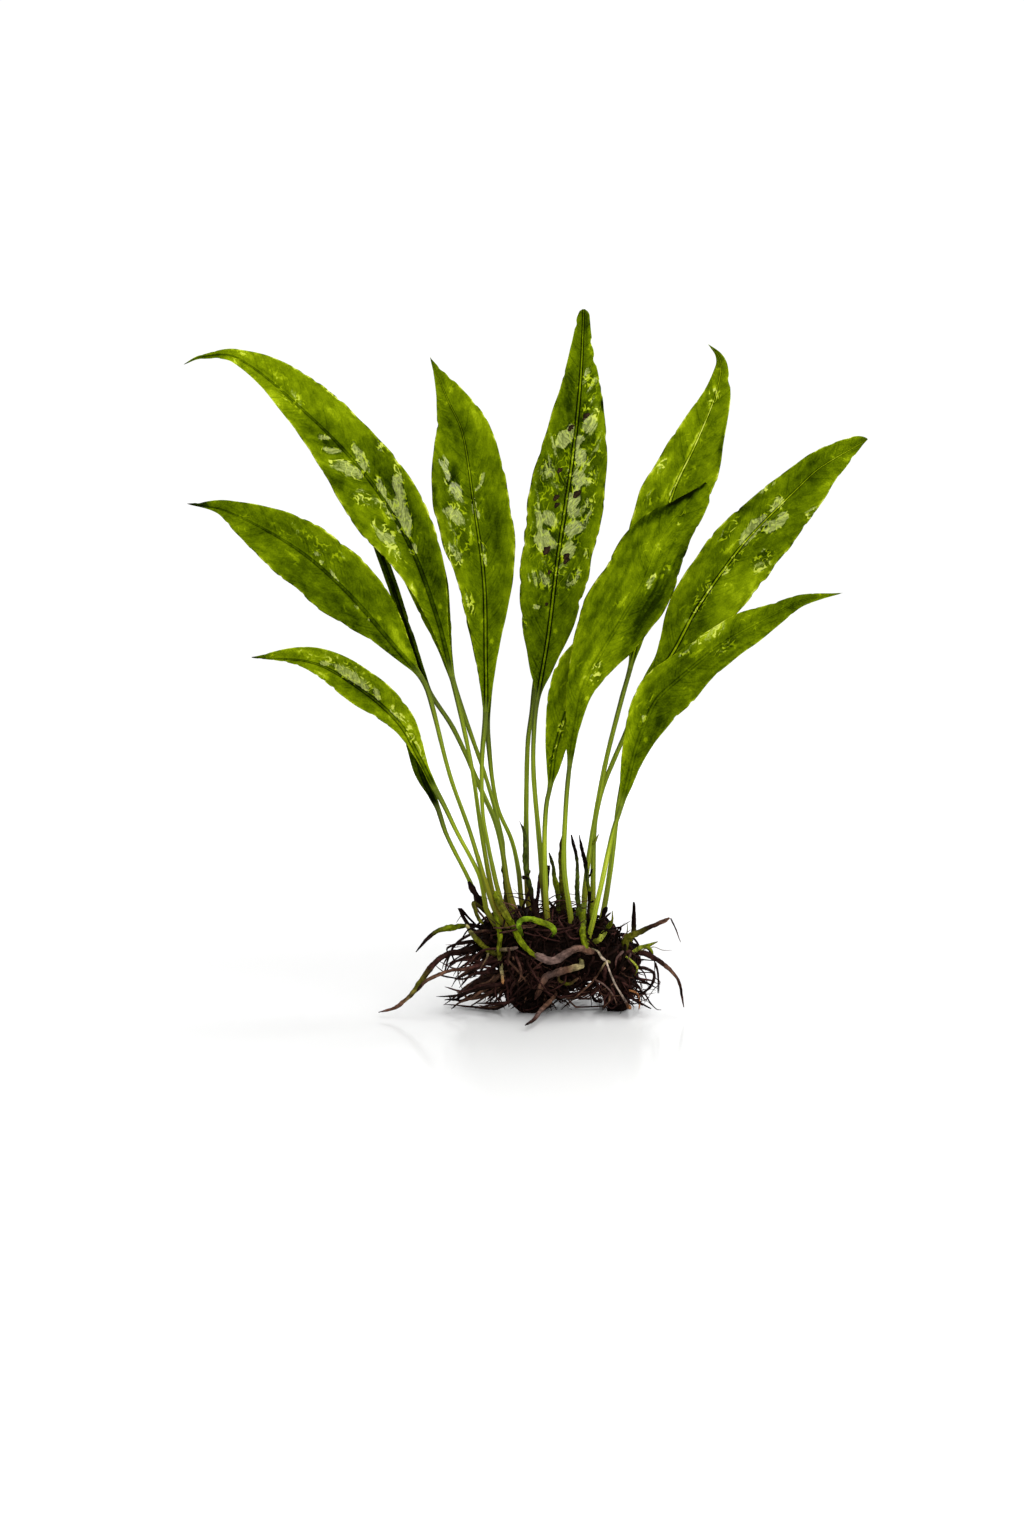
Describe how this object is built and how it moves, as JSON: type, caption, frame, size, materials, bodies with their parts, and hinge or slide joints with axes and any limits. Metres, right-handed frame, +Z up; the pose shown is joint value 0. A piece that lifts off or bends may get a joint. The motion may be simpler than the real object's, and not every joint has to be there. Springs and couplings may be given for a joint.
{
  "type": "java fern",
  "caption": "Java fern: lance-shaped green leaves on thin stalks, growing from a dark mat of rhizome and wiry roots that stands on a flat surface.",
  "frame": {"origin": "on the floor under the middle of the root ball, on its flat underside", "axes": "+Z up along the stalks, +X to the right as seen from the front, +Y away from the viewer, through the thin direction of the plant"},
  "size_m": [0.1884, 0.0855, 0.1966],
  "materials": {
    "leaf": "wet, glossy leaf",
    "stalk": "smooth, slightly glossy stalk",
    "rhizome_green": "living green rhizome skin",
    "rhizome_brown": "old pinkish brown rhizome skin",
    "sprout": "smooth bright green sprout",
    "root": "dark wiry root",
    "stub": "dark broken stalk end",
    "root_ball": "dark damp mat of roots"
  },
  "bodies": {
    "root": {"frond_01_blade": "leaf", "frond_01_stalk": "stalk", "frond_02_blade": "leaf", "frond_02_stalk": "stalk", "frond_03_blade": "leaf", "frond_03_stalk": "stalk", "frond_04_blade": "leaf", "frond_04_stalk": "stalk", "frond_05_blade": "leaf", "frond_05_stalk": "stalk", "frond_06_blade": "leaf", "frond_06_stalk": "stalk", "frond_07_blade": "leaf", "frond_07_stalk": "stalk", "frond_08_blade": "leaf", "frond_08_stalk": "stalk", "frond_09_blade": "leaf", "frond_09_stalk": "stalk", "frond_10_blade": "leaf", "frond_10_stalk": "stalk", "frond_11_blade": "leaf", "frond_11_stalk": "stalk", "frond_12_blade": "leaf", "frond_12_stalk": "stalk", "frond_13_blade": "leaf", "frond_13_stalk": "stalk", "frond_14_blade": "leaf", "frond_14_stalk": "stalk", "frond_15_blade": "leaf", "frond_15_stalk": "stalk", "frond_16_blade": "leaf", "frond_16_stalk": "stalk", "root_ball": "root_ball", "rhizome_green": "rhizome_green", "rhizome_creeping": "rhizome_brown", "sprout_arched": "sprout", "sprout_right": "sprout", "root_green": "rhizome_green", "root_olive": "rhizome_green", "root_front": "rhizome_brown", "root_left_long": "root", "root_left_low": "root", "root_left_high": "root", "twig_left": "root", "root_right_long": "root", "stick_slanting": "root", "stick_upright": "root", "stub_01": "stub", "stub_02": "stub", "stub_03": "stub", "stub_04": "stub", "stub_05": "stub", "stub_06": "stub", "stub_07": "stub", "stub_08": "stub"}
  },
  "joints": []
}
